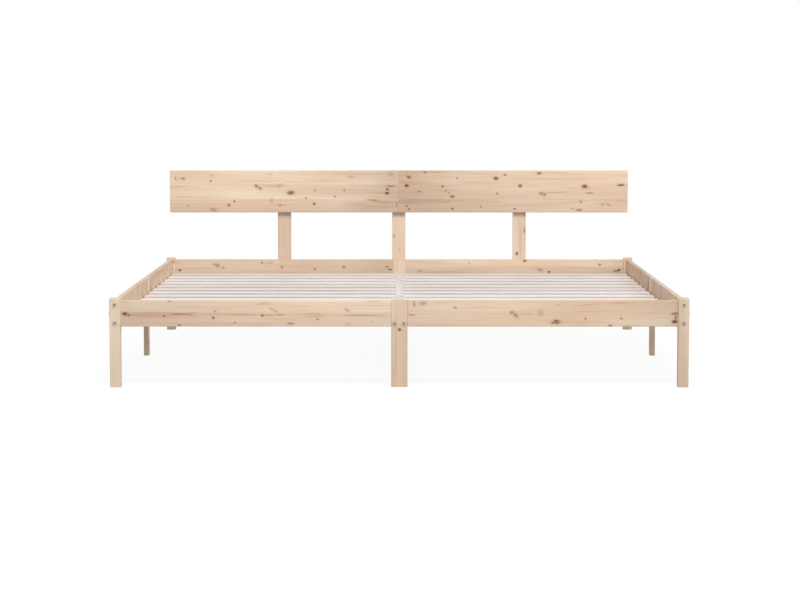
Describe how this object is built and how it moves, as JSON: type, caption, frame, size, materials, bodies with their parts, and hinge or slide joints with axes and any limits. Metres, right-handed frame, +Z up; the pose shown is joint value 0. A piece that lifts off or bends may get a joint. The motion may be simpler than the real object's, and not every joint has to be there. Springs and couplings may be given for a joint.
{
  "type": "double bed frame",
  "caption": "Low double bed frame of knotty pine boards with square corner posts, a slatted deck between the rails and a plain headboard raised on posts.",
  "frame": {"origin": "on the floor, under the middle of the frame's bounding box", "axes": "+Z up, +Y from the foot end towards the headboard, +X to the right as seen from the foot end"},
  "size_m": [2.061, 2.0664, 0.703],
  "materials": {
    "pine": "bare or clear-oiled knotty pine, planed, matt",
    "plywood": "pale plywood, sanded, matt",
    "dowel_wood": "turned hardwood, matt",
    "steel": "zinc plated, satin"
  },
  "bodies": {
    "root": {"barrel_nuts": "steel", "beam_front": "plywood", "beam_rear": "plywood", "cleat_left_front": "pine", "cleat_left_rear": "pine", "cleat_right_front": "pine", "cleat_right_rear": "pine", "connector_bolts": "steel", "headboard_panel_left": "pine", "headboard_panel_right": "pine", "headboard_post_centre": "pine", "headboard_post_left": "pine", "headboard_post_right": "pine", "joining_studs": "steel", "leg_front_centre": "pine", "leg_left_side": "pine", "leg_middle": "pine", "leg_rear_centre": "pine", "leg_right_side": "pine", "post_front_left": "pine", "post_front_right": "pine", "post_rear_left": "pine", "post_rear_right": "pine", "rail_dowels": "dowel_wood", "rail_front_left": "pine", "rail_front_right": "pine", "rail_left_front": "pine", "rail_left_rear": "pine", "rail_rear_left": "pine", "rail_rear_right": "pine", "rail_right_front": "pine", "rail_right_rear": "pine", "slat_left_01": "plywood", "slat_left_02": "plywood", "slat_left_03": "plywood", "slat_left_04": "plywood", "slat_left_05": "plywood", "slat_left_06": "plywood", "slat_left_07": "plywood", "slat_left_08": "plywood", "slat_left_09": "plywood", "slat_left_10": "plywood", "slat_left_11": "plywood", "slat_left_12": "plywood", "slat_left_13": "plywood", "slat_right_01": "plywood", "slat_right_02": "plywood", "slat_right_03": "plywood", "slat_right_04": "plywood", "slat_right_05": "plywood", "slat_right_06": "plywood", "slat_right_07": "plywood", "slat_right_08": "plywood", "slat_right_09": "plywood", "slat_right_10": "plywood", "slat_right_11": "plywood", "slat_right_12": "plywood", "slat_right_13": "plywood", "wood_screws": "steel"}
  },
  "joints": []
}
